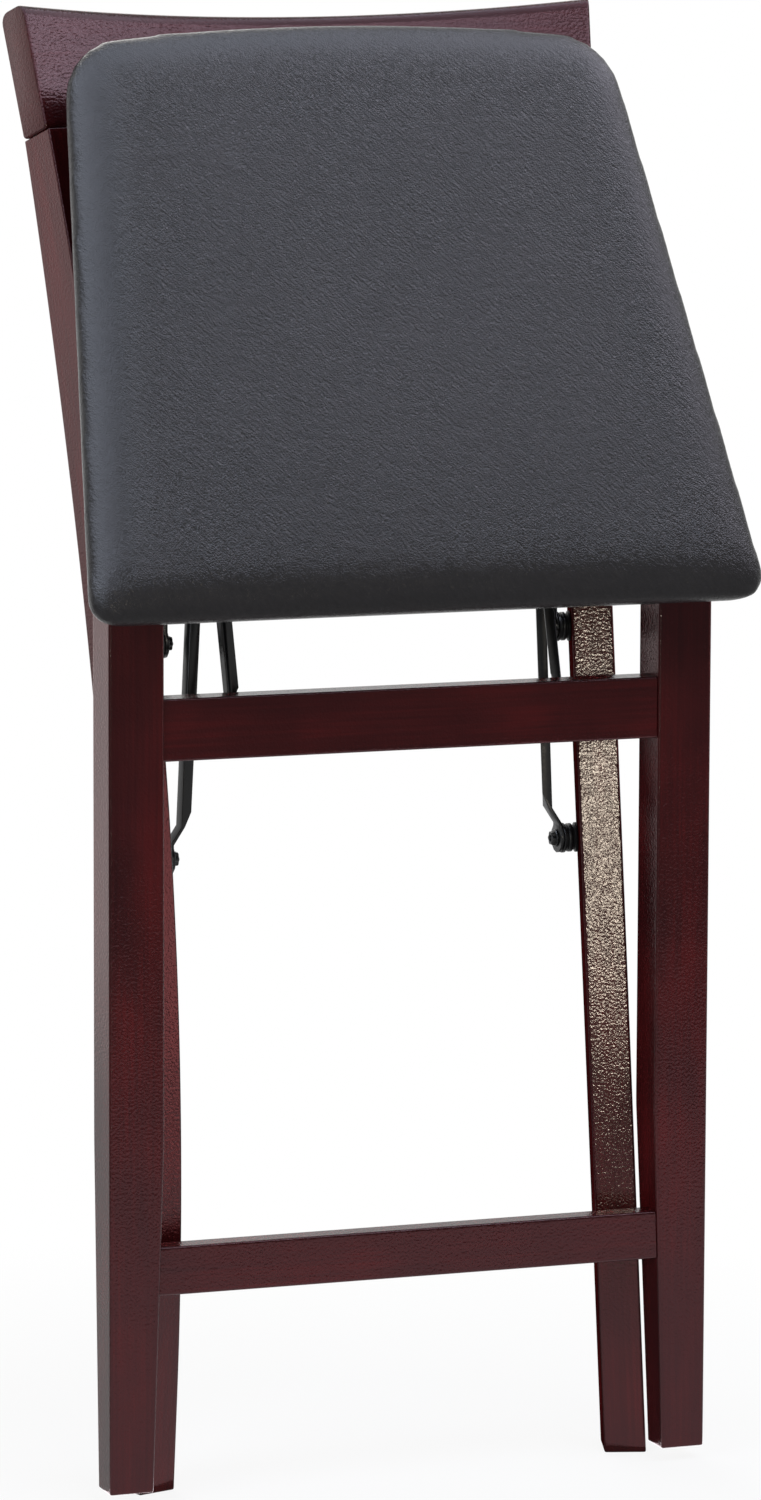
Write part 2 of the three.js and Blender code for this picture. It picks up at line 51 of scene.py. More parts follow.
METRE = 1000.0

# The stool's own frame starts between the front feet, at their front faces and on their undersides.
SHIFT = (0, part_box("front_leg_right")[0].y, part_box("front_leg_right")[0].z)

# The photograph's size and the camera that was solved from it.
PHOTO_HEIGHT = 1500
FOCAL_PIXELS = 7166
AZIMUTH, PITCH, ROLL = (math.radians(a) for a in (20.13, 8.33, 0.21))
DISTANCE, AIM_ACROSS, AIM_HEIGHT = 4750, -22.5, 489.7

# Sizes that the pieces share with the CAD model.
FRAME_WIDTH, LEG_WIDTH, LEG_DEPTH = 425.2, 38, 35
FOOT_WIDTH, FOOT_DEPTH, TAPER_HEIGHT = 30.4, 26, 235
HINGE_DEPTH, HINGE_HEIGHT, HEAD_RISE = 17.5, 590, 15
APRON_TOP, APRON_HEIGHT, APRON_THICKNESS = 531, 41.5, 20.5
STRETCHER_TOP, STRETCHER_HEIGHT, STRETCHER_THICKNESS = 165, 32.7, 17
RAIL_SETBACK, TOUCH_GAP = 2, 0.3
TOE_IN = math.radians(17.3)
REAR_SETBACK, REAR_DROP, REAR_SPAN, SPAN_DRAW, SPAN_EASE = 82, 9.3, 136.6, 42, 9.3
REAR_WIDTH, REAR_FOOT, REAR_TOP, REAR_SWELL = 28.6, 34.6, 30.5, 8
STRAIGHT_HEIGHT, BEND_RADIUS, POST_HEIGHT = 60, 2400, 894.5
CREST_HEIGHT, CREST_THICKNESS, CREST_DIP, CREST_OVERHANG = 88, 28, 12, 2
BACK_RAIL_TOP, BACK_RAIL_HEIGHT, BACK_RAIL_THICKNESS, BACK_RAIL_SETBACK = 722, 36, 18, 8
SEAT_LEAN = math.radians(27.8)
SEAT_TURN = math.cos(math.pi / 2 - SEAT_LEAN), math.sin(math.pi / 2 - SEAT_LEAN)
SEAT_UNDERSIDE, BOARD_THICKNESS = 18.2, 10
BOLT_PLATE, PLATE, SLIDE_GAP = 138.5, 2.6, 0.4

# Depths and heights of pivots in the folded stool's side view.
UPPER_BOLT, LOWER_BOLT = (107, 553.5), (94, 409.5)
BRACE_PIVOT, TIE_PIVOT, TIE_JOIN = (92.117, 731.524), (35.5, 512), (92.345, 692.636)

# The cushion's plan and profile, fitted to the photograph, and how far the board lies inside that plan.
SEAT_OVERHANG, SEAT_LENGTH, SEAT_FRONT, SEAT_BACK = 28.4, 422, 470, 379.7
SEAT_TAPER = (SEAT_FRONT - SEAT_BACK) / 2 / SEAT_LENGTH
FRONT_CORNER, BACK_CORNER, BACK_RADIUS = 17.6, 46.5, 1460
PAD_BASE = SEAT_UNDERSIDE + BOARD_THICKNESS + TOUCH_GAP
PAD_HEIGHT, PAD_CROWN, PAD_BELLY, PAD_TUCK, PAD_ROLL = 34.8, 7.9, 20.3, 8.5, 50.0
BOARD_INSET = 12

# Radii of the wood's arrises and ends, and the step from an arc to the face beside it, which keeps that flat.
FRONT_EDGE, REAR_EDGE, RAIL_EDGE, CREST_TOP_EDGE, END_EDGE = 1.5, 1.6, 3, 8, 1.2
EDGE_STEP = 0.8
SHARP_ANGLE = math.radians(35)


def camera():
    """Sets the camera that was solved from the photograph."""
    reach, drop = math.cos(PITCH), math.sin(PITCH)
    forward = Vector((math.sin(AZIMUTH) * reach, math.cos(AZIMUTH) * reach, -drop))
    level = Vector((math.cos(AZIMUTH), -math.sin(AZIMUTH), 0))
    upright = level.cross(forward)
    right = level * math.cos(ROLL) + upright * math.sin(ROLL)
    up = upright * math.cos(ROLL) - level * math.sin(ROLL)
    target = Vector((0, 0, AIM_HEIGHT)) + level * AIM_ACROSS
    place = (target - forward * DISTANCE) / METRE
    data = bpy.data.cameras.new("camera")
    data.sensor_fit = "AUTO"
    data.sensor_width = 36
    data.lens = FOCAL_PIXELS / PHOTO_HEIGHT * data.sensor_width
    data.clip_end = 100
    view = bpy.data.objects.new("camera", data)
    scene.collection.objects.link(view)
    turn = Matrix((right, up, -forward)).transposed().to_4x4()
    view.matrix_world = Matrix.Translation(place + Vector(SHIFT)) @ turn
    scene.camera = view


# Mesh making.


def to_frame(points):
    """Points of the stool's own frame in millimetres, as metres in the CAD model's frame."""
    return np.asarray(points, float) / METRE + SHIFT


def make(name, points, faces, attributes=None):
    """A mesh object from points in the stool's frame and a list of faces, smooth but for its sharp edges."""
    mesh = bpy.data.meshes.new(name)
    mesh.from_pydata(to_frame(points).tolist(), [], faces)
    for key, values in (attributes or {}).items():
        values = np.asarray(values, np.float32)
        kind = "FLOAT_VECTOR" if values.ndim == 2 else "FLOAT"
        layer = mesh.attributes.new(key, kind, "POINT")
        layer.data.foreach_set("vector" if values.ndim == 2 else "value", values.ravel())
    mesh.shade_smooth()
    mesh.set_sharp_from_angle(angle=SHARP_ANGLE)
    obj = bpy.data.objects.new(name, mesh)
    scene.collection.objects.link(obj)
    return obj


def finish_piece(obj, material, body, slot, *nodes):
    """Gives a piece its material and the body that it rides on, and hides the CAD nodes that it replaces. The
    slot is not used.
    """
    obj.data.materials.clear()
    obj.data.materials.append(material)
    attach(obj, body)
    if nodes:
        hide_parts(*nodes)
    return obj


def points_of(obj):
    """A mesh's points in millimetres in the stool's frame."""
    flat = np.empty(3 * len(obj.data.vertices), np.float32)
    obj.data.vertices.foreach_get("co", flat)
    return (flat.reshape(-1, 3) - SHIFT) * METRE


def edges_of(obj):
    """A mesh's edges, as pairs of point numbers."""
    pairs = np.empty(2 * len(obj.data.edges), np.int32)
    obj.data.edges.foreach_get("vertices", pairs)
    return pairs.reshape(-1, 2)


def set_points(obj, points):
    """Moves a mesh's points to places in millimetres in the stool's frame."""
    obj.data.vertices.foreach_set("co", to_frame(points).astype(np.float32).ravel())
    obj.data.update()


def apply_modifiers(obj):
    """Replaces an object's mesh by what its modifiers make of it."""
    graph = bpy.context.evaluated_depsgraph_get()
    made = bpy.data.meshes.new_from_object(obj.evaluated_get(graph))
    obj.modifiers.clear()
    obj.data = made


def settled(values, edges, rounds):
    """Values at points, each averaged with its neighbours along the edges, a number of rounds."""
    count = np.bincount(edges.ravel(), minlength=len(values))[:, None]
    for _ in range(rounds):
        total = np.zeros_like(values)
        np.add.at(total, edges[:, 0], values[edges[:, 1]])
        np.add.at(total, edges[:, 1], values[edges[:, 0]])
        values = (values + total / count) / 2
    return values


def skin_faces(rows, columns):
    """Quads of a closed skin over rings of points, and one flat face at each end."""
    ring = np.arange(columns)
    start = np.arange(rows - 1)[:, None] * columns
    a = start + ring
    b = start + (ring + 1) % columns
    quads = np.stack([a, b, b + columns, a + columns], -1).reshape(-1, 4).tolist()
    return quads + [ring[::-1].tolist(), (ring + (rows - 1) * columns).tolist()]


def outward(points, faces):
    """The faces, turned over if the closed skin that they make is inside out."""
    volume = 0.0
    for k in range(1, max(len(f) for f in faces) - 1):
        tri = points[np.array([[f[0], f[k], f[k + 1]] for f in faces if len(f) > k + 1])]
        volume += np.einsum("ij,ij->", tri[:, 0], np.cross(tri[:, 1], tri[:, 2]))
    return faces if volume > 0 else [f[::-1] for f in faces]


def ring_faces(rows, columns):
    """Quads of a skin that closes both along its rings and from its last ring to its first."""
    ring, start = np.arange(columns), np.arange(rows)[:, None] * columns
    after = (start + columns) % (rows * columns)
    onward = (ring + 1) % columns
    return np.stack([start + ring, start + onward, after + onward, after + ring], -1).reshape(-1, 4).tolist()


def rounded(width, depth, radii, inset=0.0):
    """Outlines of rectangles from (0, 0) to (width, depth), one a row, and each point's share of an arris.

    Corner k is centre + r (cos t, sin t) over a quarter turn in five steps. Along each side lie four points,
    the outer two one edge step from the arcs. Inset draws the whole outline in.
    """
    sizes = (np.atleast_1d(np.asarray(a, float)) for a in (width, depth, inset))
    width, depth, inset = np.broadcast_arrays(*sizes)
    w, d = width - 2 * inset, depth - 2 * inset
    r = [np.maximum(radius - inset, 0.05) for radius in radii]
    turn = np.radians(np.linspace(0, 90, 6))
    corners = (w - r[0], r[0]), (w - r[1], d - r[1]), (r[2], d - r[2]), (r[3], r[3])
    arcs = []
    for (x, y), radius, start in zip(corners, r, (-90, 0, 90, 180)):
        angle = math.radians(start) + turn
        arc_x = x[:, None] + radius[:, None] * np.cos(angle)
        arc_y = y[:, None] + radius[:, None] * np.sin(angle)
        arcs.append(np.stack([arc_x, arc_y], -1))
    parts, arris = [], []
    for k in range(4):
        start, end = arcs[k][:, -1:], arcs[(k + 1) % 4][:, :1]
        near = np.minimum(EDGE_STEP / np.linalg.norm(end - start, axis=-1), 0.3)
        share = np.concatenate([near, np.full_like(near, 1 / 3), np.full_like(near, 2 / 3), 1 - near], 1)
        parts += [arcs[k], start + (end - start) * share[..., None]]
        arris += [np.ones(6), np.array([0.35, 0, 0, 0.35])]
    return np.concatenate(parts, 1) + inset[:, None, None], np.concatenate(arris)


def levels_of(low, high, count, low_edge, high_edge):
    """Stations from low to high and their insets: even steps between, and a quarter round at each end."""
    turn = np.radians(np.linspace(0, 90, 5))
    first = low + low_edge * (1 - np.sin(turn))[::-1]
    last = high - high_edge * (1 - np.sin(turn))
    middle = np.linspace(first[-1] + EDGE_STEP, last[0] - EDGE_STEP, count)
    round_off = 1 - np.cos(turn)
    inset = np.concatenate([low_edge * round_off[::-1], np.zeros(count), high_edge * round_off])
    return np.concatenate([first, middle, last]), inset


def wooden(name, body, points, grain, arris, seed, shade_dulled=None):
    """A wooden piece from rings of points and of grain coordinates, and one ring's arris shares and
    painted-shade shares.

    The seed moves its grain to a part of the pattern that no other piece has.
    """
    rows, columns = points.shape[:2]
    flat = points.reshape(-1, 3)
    faces = outward(flat, skin_faces(rows, columns))
    along = grain.reshape(-1, 3) / METRE + (seed * 3.7, seed * 1.3, seed * 2.1)
    shade_dulled = np.zeros(columns) if shade_dulled is None else shade_dulled
    attributes = {"grain": along, "arris": np.tile(arris, rows), "shade_dulled": np.tile(shade_dulled, rows)}
    piece = finish_piece(make(name, flat, faces, attributes), WOOD, body, "wood", name)
    WOODEN.objects.link(piece)


def mirrored(points):
    """The same points on the other side of the stool."""
    return points * (-1, 1, 1)


# Wood.


def front_taper(z):
    """Share of the front leg's taper at a height: 1 at the foot, 0 where the taper starts and above."""
    return np.maximum(0, 1 - z / TAPER_HEIGHT)


def front_inner(z):
    """X of the front leg's inner face at a height: upright, then drawn out to the narrower foot."""
    return FRAME_WIDTH / 2 - LEG_WIDTH + (LEG_WIDTH - FOOT_WIDTH) * front_taper(z)


def front_legs():
    """Straight legs, X from the inner face v to the outer one, Y from 0 to the depth d, tapered below.

    The head is half an ellipse: half depth = d/2 sqrt(1 - s^2) at the height hinge + rise s.
    """
    low, inset = levels_of(0, HINGE_HEIGHT, 90, END_EDGE, 0.01)
    s = np.sin(np.radians(np.linspace(6, 86, 14)))
    z = np.concatenate([low, HINGE_HEIGHT + HEAD_RISE * s])
    inset = np.concatenate([inset, np.zeros(14)])
    rise = np.concatenate([np.zeros(len(low)), s])
    depth = LEG_DEPTH - (LEG_DEPTH - FOOT_DEPTH) * front_taper(z)
    height = depth * np.sqrt(1 - rise**2)
    inner = front_inner(z)
    edge = np.minimum(FRONT_EDGE, height / 4)
    section, arris = rounded(FRAME_WIDTH / 2 - inner, height, [edge] * 4, inset)
    x = inner[:, None] + section[..., 0]
    y = (depth - height)[:, None] / 2 + section[..., 1]
    points = np.stack([x, y, np.broadcast_to(z[:, None], x.shape)], -1)
    grain = points[..., [2, 0, 1]]
    wooden("front_leg_right", "front_frame", points, grain, arris, 1)
    wooden("front_leg_left", "front_frame", mirrored(points), grain, arris, 2)


def front_rail(name, top, height, thickness, seed):
    """A rail whose ends follow the legs: X = share (inner face at that height), section in Y and Z."""
    share = np.linspace(-1, 1, 61)
    section, arris = rounded(thickness, height, [FRONT_EDGE] * 4)
    y = RAIL_SETBACK + section[0, :, 0]
    z = top - height + section[0, :, 1]
    x = share[:, None] * (front_inner(z) - TOUCH_GAP)[None, :]
    points = np.stack([x, np.broadcast_to(y, x.shape), np.broadcast_to(z, x.shape)], -1)
    wooden(name, "front_frame", points, points, arris, seed)


def rear_front(z):
    """Depth of the rear leg's front face: upright below, then an arc that bends back."""
    rise = np.maximum(0, z - STRAIGHT_HEIGHT)
    return REAR_SETBACK + BEND_RADIUS - np.sqrt(BEND_RADIUS**2 - rise**2)


def rear_tilt(z):
    """Tilt of the rear leg at a height along its front face."""
    return np.arcsin(np.maximum(0, z - STRAIGHT_HEIGHT) / BEND_RADIUS)


def rear_inner(z):
    """Reach of the rear leg's inner face across itself: the legs draw together upwards."""
    share = z / POST_HEIGHT
    return REAR_SPAN - SPAN_DRAW * share + SPAN_EASE * share**2


def rear_depth(z):
    """Depth of the rear leg from front to back, fullest at about two thirds of its height."""
    share = z / POST_HEIGHT
    return REAR_FOOT + (REAR_TOP - REAR_FOOT) * share + REAR_SWELL * np.sin(np.pi * share**2)


def toed(depth, reach, z):
    """A point from its depth and reach along the toed-in leg: both turned by the toe-in about the upright."""
    c, s = math.cos(TOE_IN), math.sin(TOE_IN)
    return np.stack([depth * s + reach * c, depth * c - reach * s, z], -1)


def rear_legs():
    """Sabre legs: rings square to the front arc, each v across and d deep, at level = z - d sin tilt.

    Their inner faces, where v is near 0, lose their gloss: painted shade that hides the white room's
    reflection there.
    """
    z, inset = levels_of(-REAR_DROP, POST_HEIGHT - TOUCH_GAP, 130, END_EDGE, 0.5)
    section, arris = rounded(REAR_WIDTH, rear_depth(z), [REAR_EDGE] * 4, inset)
    v, d = section[..., 0], section[..., 1]
    tilt = rear_tilt(z)[:, None]
    level = z[:, None] - d * np.sin(tilt)
    points = toed(rear_front(z)[:, None] + d * np.cos(tilt), rear_inner(level) + v, level)
    grain = np.stack([np.broadcast_to(z[:, None], v.shape), v, d], -1)
    # Painted shade: the inner faces are marked to lose their gloss.
    shade_dulled = (v[len(v) // 2] < 0.3).astype(float)
    wooden("rear_leg_right", "rear_frame", points, grain, arris, 5, shade_dulled)
    wooden("rear_leg_left", "rear_frame", mirrored(points), grain, arris, 6, shade_dulled)


def bent(depth, reach, z, share):
    """A point of an arc that meets both rear legs squarely, at a share from -1 to 1 of its half span.

    Its centre lies on the middle plane: centre = -reach / sin toe-in, radius = depth - centre cos toe-in.
    """
    centre = -reach / math.sin(TOE_IN)
    radius = depth - centre * math.cos(TOE_IN)
    angle = TOE_IN * share
    return np.stack([radius * np.sin(angle), centre + radius * np.cos(angle), z], -1)


def crest_rail():
    """The crest goes on at the posts' tilt. Its height is h - dip (1 - share^2), and its ends are eased."""
    half_length = 155.0
    along, inset = levels_of(-half_length, half_length, 121, END_EDGE, END_EDGE)
    share = along / half_length
    height = CREST_HEIGHT - CREST_DIP * (1 - share**2)
    radii = (RAIL_EDGE, CREST_TOP_EDGE, CREST_TOP_EDGE, RAIL_EDGE)
    section, arris = rounded(CREST_THICKNESS, height, radii, inset)
    d, r = section[..., 0], section[..., 1]
    tilt = float(rear_tilt(POST_HEIGHT))
    depth = rear_front(POST_HEIGHT) + r * math.sin(tilt) + d * math.cos(tilt)
    level = POST_HEIGHT + r * math.cos(tilt) - d * math.sin(tilt)
    points = bent(depth, rear_inner(level) + REAR_WIDTH + CREST_OVERHANG, level, share[:, None])
    grain = np.stack([np.broadcast_to(along[:, None], d.shape), d, r], -1)
    wooden("crest_rail", "rear_frame", points, grain, arris, 7)


def back_rail():
    """The lower back rail fits between the posts and follows the same curve as the crest."""
    half_length = 120
    share = np.linspace(-1, 1, 81)
    section, arris = rounded(BACK_RAIL_THICKNESS, BACK_RAIL_HEIGHT, [RAIL_EDGE] * 4)
    d, r = section[0, :, 0], section[0, :, 1]
    level = BACK_RAIL_TOP - r
    depth = rear_front(level) + BACK_RAIL_SETBACK + d
    shape = (len(share), len(d))
    wide = [np.broadcast_to(a, shape) for a in (depth, rear_inner(level) - TOUCH_GAP, level)]
    points = bent(*wide, share[:, None])
    grain = np.stack([np.broadcast_to(a, shape) for a in (share[:, None] * half_length, d, r)], -1)
    wooden("lower_back_rail", "rear_frame", points, grain, arris, 8)


# Seat.


def seat_to_stool(points):
    """Points of the seat's frame (x across, y to the rear edge, z up from the board) in the stool's frame."""
    c, s = SEAT_TURN
    x, y, z = points[..., 0], points[..., 1], points[..., 2]
    return np.stack([x, HINGE_DEPTH + y * c - z * s, HINGE_HEIGHT + y * s + z * c], -1)


def stool_to_seat(points):
    """The way back from seat_to_stool."""
    c, s = SEAT_TURN
    y, z = points[..., 1] - HINGE_DEPTH, points[..., 2] - HINGE_HEIGHT
    return np.stack([points[..., 0], y * c + z * s, -y * s + z * c], -1)


def seat_outline(inset):
    """The seat's plan outline, drawn in by an inset: straight sides, corner arcs and a bowed rear edge.

    Each arc is centre + (radius - inset)(sin t, cos t). The rear corner's arc touches the side and the bow,
    and twelve rounds settle its centre. The front corner grows where the inset would leave it less than 2 mm.
    """
    slope = math.atan(SEAT_TAPER)
    bow_centre = SEAT_LENGTH - BACK_RADIUS
    front = max(FRONT_CORNER, inset + 2)

    def beside(radius, y):
        """X of the centre of an arc that touches the side, from its radius and its depth."""
        return SEAT_FRONT / 2 - (radius + math.sin(slope) * y) / math.cos(slope)

    y = SEAT_LENGTH - BACK_CORNER
    for _ in range(12):
        y = bow_centre + math.sqrt((BACK_RADIUS - BACK_CORNER) ** 2 - beside(BACK_CORNER, y) ** 2)
    side, bow = math.pi / 2 - slope, math.atan2(beside(BACK_CORNER, y), y - bow_centre)
    arcs = []
    for radius, centre, first, last, count in (
        (front, (beside(front, front), front), math.pi, side, 15),
        (BACK_CORNER, (beside(BACK_CORNER, y), y), side, bow, 19),
        (BACK_RADIUS, (0, bow_centre), bow, 0, 34),
    ):
        angle = np.linspace(first, last, count)
        arcs.append(np.array(centre) + (radius - inset) * np.stack([np.sin(angle), np.cos(angle)], -1))
    front_edge = np.linspace((0, arcs[0][0, 1]), arcs[0][0], 34)[:-1]
    side_edge = np.linspace(arcs[0][-1], arcs[1][0], 58)[1:-1]
    half = np.concatenate([front_edge, arcs[0], side_edge, arcs[1], arcs[2][1:]])
    return np.concatenate([half, half[-2:0:-1] * (-1, 1)]) - (0, SEAT_OVERHANG)


def pad_blank():
    """The cushion before it is stuffed: rings of the outline, drawn in about its middle and raised.

    Below its belly it tucks in to the board. Above, it rises as sqrt(1 - (1 - draw / roll)^2.25). The crown
    is c ((1 - x^3)(1 - y^3) + 1 - (x^3 + y^3) / 2) / 2, with x and y as shares of half the width and length.
    """
    middle = SEAT_LENGTH / 2 - SEAT_OVERHANG
    half = np.array([SEAT_FRONT, SEAT_LENGTH]) / 2
    top, crown_height = PAD_HEIGHT - 0.5, PAD_CROWN - 1
    t = np.linspace(0, 1, 7)[:-1]
    lower = np.stack([PAD_TUCK * (1 - t) ** 2, PAD_BELLY * t], -1)
    draw = PAD_ROLL * np.linspace(0, 1, 18) ** 2
    bulge = np.sqrt(1 - (1 - draw / PAD_ROLL) ** 2.25)
    upper = np.stack([draw, PAD_BELLY + (top - PAD_BELLY) * bulge], -1)
    flat = np.linspace(PAD_ROLL, half.min() * 0.97, 20)[1:]
    inner = np.stack([flat, np.full(len(flat), top)], -1)
    outline = seat_outline(1.0) - (0, middle)
    rings = []
    for draw, rise in np.concatenate([lower, upper, inner]):
        plan = outline * (1 - draw / half)
        x3, y3 = np.abs(plan / half).T ** 3
        crown = crown_height * ((1 - x3) * (1 - y3) + 1 - (x3 + y3) / 2) / 2 * min(1, rise / PAD_BELLY - 1)
        rings.append(np.column_stack([plan + (0, middle), PAD_BASE + rise + np.maximum(crown, 0)]))
    return np.array(rings)


def stuffed(blank, name):
    """The blank remeshed in even cells that lie on its skin, and blown up by a cloth simulation.

    The cloth is held near the board, and no point moves more than a cap. The vinyl is taut, so the swell is
    evened out over the surface, kept mostly square to the board and made at most a few millimetres high.
    """
    cell, held_height, cap, highest, evenings = 5, 16, 22.0, 3.0, 90
    rings = seat_to_stool(blank)
    flat = rings.reshape(-1, 3)
    faces = outward(flat, skin_faces(*rings.shape[:2]))
    exact, obj = make("cushion_blank", flat, faces), make(name, flat, faces)
    remesh = obj.modifiers.new("even", "REMESH")
    remesh.mode, remesh.voxel_size = "VOXEL", cell / METRE
    wrap = obj.modifiers.new("on_the_skin", "SHRINKWRAP")
    wrap.target, wrap.wrap_method = exact, "NEAREST_SURFACEPOINT"
    apply_modifiers(obj)
    bpy.data.objects.remove(exact)
    start = stool_to_seat(points_of(obj))
    held = obj.vertex_groups.new(name="held")
    held.add(np.flatnonzero(start[:, 2] < PAD_BASE + held_height).tolist(), 1.0, "REPLACE")
    cloth = obj.modifiers.new("cloth", "CLOTH")
    cloth.settings.vertex_group_mass = "held"
    cloth.settings.use_pressure = True
    cloth.settings.uniform_pressure_force = 4
    cloth.settings.tension_stiffness = cloth.settings.compression_stiffness = 40
    cloth.settings.effector_weights.gravity = 0
    for step in range(1, 21):
        scene.frame_set(step)
    apply_modifiers(obj)
    scene.frame_set(1)
    moved = stool_to_seat(points_of(obj)) - start
    far = np.linalg.norm(moved, axis=1)
    moved *= np.where(far > cap, cap / np.maximum(far, 1e-9), 1)[:, None]
    swell = settled(moved, edges_of(obj), evenings) * (0.1, 0.1, 1.0)
    swell *= min(1.0, highest / swell[:, 2].max())
    set_points(obj, seat_to_stool(start + swell))
    return obj


def seat_pad():
    """The cushion: stuffed, then fitted to the seat's own width, length and height, and made smooth."""
    obj = stuffed(pad_blank(), "seat_cushion")
    local = settled(stool_to_seat(points_of(obj)), edges_of(obj), 2)
    low, high = local.min(0), local.max(0)
    want_low = np.array([-SEAT_FRONT / 2, -SEAT_OVERHANG, PAD_BASE])
    want_high = np.array([SEAT_FRONT / 2, SEAT_LENGTH - SEAT_OVERHANG, PAD_BASE + PAD_HEIGHT + PAD_CROWN])
    local = want_low + (local - low) * (want_high - want_low) / (high - low)
    set_points(obj, seat_to_stool(local))
    smooth = obj.modifiers.new("smooth", "SUBSURF")
    smooth.levels = smooth.render_levels = 1
    apply_modifiers(obj)
    attach_seat_coordinates(obj)
    obj.data.shade_smooth()
    finish_piece(obj, VINYL, "seat", "vinyl", "seat_pad")


def attach_seat_coordinates(obj):
    """Keeps each point's place in the seat's frame, in metres, and how taut the vinyl is pulled there.

    Taut runs from 0 inside to 1 at the rim, by the distance to the nearest edge of the plan.
    """
    slack_from, taut_to = 48, 12
    local = stool_to_seat(points_of(obj))
    x, y, z = local.T
    side = SEAT_FRONT / 2 - SEAT_TAPER * (y + SEAT_OVERHANG) - np.abs(x)
    rear = SEAT_LENGTH - SEAT_OVERHANG - y - x**2 / BACK_RADIUS / 2
    rim = np.minimum(np.minimum(side, y + SEAT_OVERHANG), rear)
    taut = np.clip((slack_from - rim) / (slack_from - taut_to), 0, 1)
    layer = obj.data.attributes.new("seat", "FLOAT_VECTOR", "POINT")
    layer.data.foreach_set("vector", (local / METRE).astype(np.float32).ravel())
    layer = obj.data.attributes.new("taut", "FLOAT", "POINT")
    layer.data.foreach_set("value", (taut * taut * (3 - 2 * taut)).astype(np.float32))


def seat_band(name, profile, closed):
    """A piece that runs round the seat: rings of the outline by inset and height in the seat's frame."""
    plans = [seat_outline(inset) for inset, _ in profile]
    rings = [np.column_stack([plan, np.full(len(plan), z)]) for plan, (_, z) in zip(plans, profile)]
    rings = seat_to_stool(np.array(rings))
    flat = rings.reshape(-1, 3)
    skin = ring_faces(*rings.shape[:2]) if closed else skin_faces(*rings.shape[:2])
    obj = make(name, flat, outward(flat, skin))
    attach_seat_coordinates(obj)
    return obj


def seat_board():
    """The plywood board, which ends a little inside the hem."""
    gap, under = 1.2, SEAT_UNDERSIDE + 1.3
    z, inset = levels_of(under, SEAT_UNDERSIDE + BOARD_THICKNESS, 3, 2.0, 0.4)
    board = seat_band("seat_board", [(BOARD_INSET + gap + i, level) for level, i in zip(z, inset)], False)
    finish_piece(board, PLYWOOD, "seat", "board", "seat_board")


def vinyl_hem():
    """The vinyl's hem, wrapped round the board's edge in a quarter turn and on under it to a folded end."""
    edge, end, bend = BOARD_INSET, 38, 3
    side_thickness, under_thickness = 1, 0.8
    under, top = SEAT_UNDERSIDE + 0.5, SEAT_UNDERSIDE + BOARD_THICKNESS + 0.1
    turn = np.radians(np.linspace(0, 90, 6))
    profile = [(edge, top)]
    for a in turn:
        profile.append((edge + bend * (1 - math.cos(a)), under + bend * (1 - math.sin(a))))
    profile += [(end, under), (end + 0.6, under + 0.4), (end, under + 0.7)]
    for a in turn[::-1]:
        inset = edge + side_thickness + (bend - side_thickness) * (1 - math.cos(a))
        profile.append((inset, under + bend - (bend - under_thickness) * math.sin(a)))
    profile.append((edge + side_thickness, top))
    finish_piece(seat_band("vinyl_hem", profile, True), VINYL, "seat", "vinyl")


def dust_cover():
    """The dust cover, a thin sheet under the board, over the hem's end."""
    inset, under = 30, SEAT_UNDERSIDE
    profile = [(inset, under + 0.45), (inset - 0.4, under + 0.2), (inset, under)]
    finish_piece(seat_band("dust_cover", profile, False), COVER, "seat", "board")


def staples():
    """Staples through the dust cover's edge, clear of the hinges, each a round wire that dips at both ends.

    The wire's ring is path + wire (cos t across, sin t square to the path). Each staple is turned on the plan
    by a slight wobble from the line that it follows.
    """
    count, inset, wire = 52, 33, 0.3
    hinge_depth, hinge_reach = 22, 140
    line = seat_outline(inset)
    loop = np.concatenate([line, line[:1]])
    length = np.concatenate([[0], np.cumsum(np.linalg.norm(np.diff(loop, axis=0), axis=1))])
    at = (np.arange(count) + 0.5) / count * length[-1]
    middle = np.stack([np.interp(at, length, loop[:, k]) for k in range(2)], -1)
    ahead = np.stack([np.interp(at + 2, length, loop[:, k]) for k in range(2)], -1) - middle
    clear = (middle[:, 1] > hinge_depth) | (np.abs(middle[:, 0]) < hinge_reach)
    middle, ahead = middle[clear], ahead[clear] / np.linalg.norm(ahead[clear], axis=1)[:, None]
    across = ahead[:, ::-1] * (-1, 1)
    wobble = 0.16 * np.sin(np.arange(len(middle)) * 2.4)[:, None]
    ahead, across = ahead + across * wobble, across - ahead * wobble
    path = np.array([(-5, 0.9), (-5, 0.1), (-4.6, -0.2), (4.6, -0.2), (5, 0.1), (5, 0.9)])
    slant = np.gradient(path, axis=0)
    slant /= np.linalg.norm(slant, axis=1)[:, None]
    turn = np.radians(np.arange(6) * 60)
    reach = path[:, :1] - wire * np.sin(turn) * slant[:, 1:]
    rise = path[:, 1:] + wire * np.sin(turn) * slant[:, :1]
    plan = middle[:, None, None] + ahead[:, None, None] * reach[..., None]
    plan = plan + across[:, None, None] * (wire * np.cos(turn))[:, None]
    z = np.broadcast_to(SEAT_UNDERSIDE + rise, plan.shape[:3])
    flat = seat_to_stool(np.concatenate([plan, z[..., None]], -1)).reshape(-1, 3)
    one = skin_faces(len(path), len(turn))
    faces = [[v + k * reach.size for v in face] for k in range(len(middle)) for face in one]
    finish_piece(make("staples", flat, outward(flat, faces)), STEEL, "seat", "steel")


# Steel.

FOLDED_NODES = {
    "front_frame": ("tie_bracket",),
    "seat": ("hinge_bracket", "link_bracket"),
    "brace_links": ("brace_link",),
    "support_links": ("support_link",),
    "tie_links": ("tie_link",),
}
PIN_NODES = {
    "front_frame": ("tie_pin", "seat_hinge_bolt"),
    "rear_frame": ("upper_bolt", "lower_bolt"),
    "seat": ("support_pin",),
    "brace_links": ("brace_pin",),
    "tie_links": ("join_pin",),
}
SIDES = {"right": 1, "left": -1}

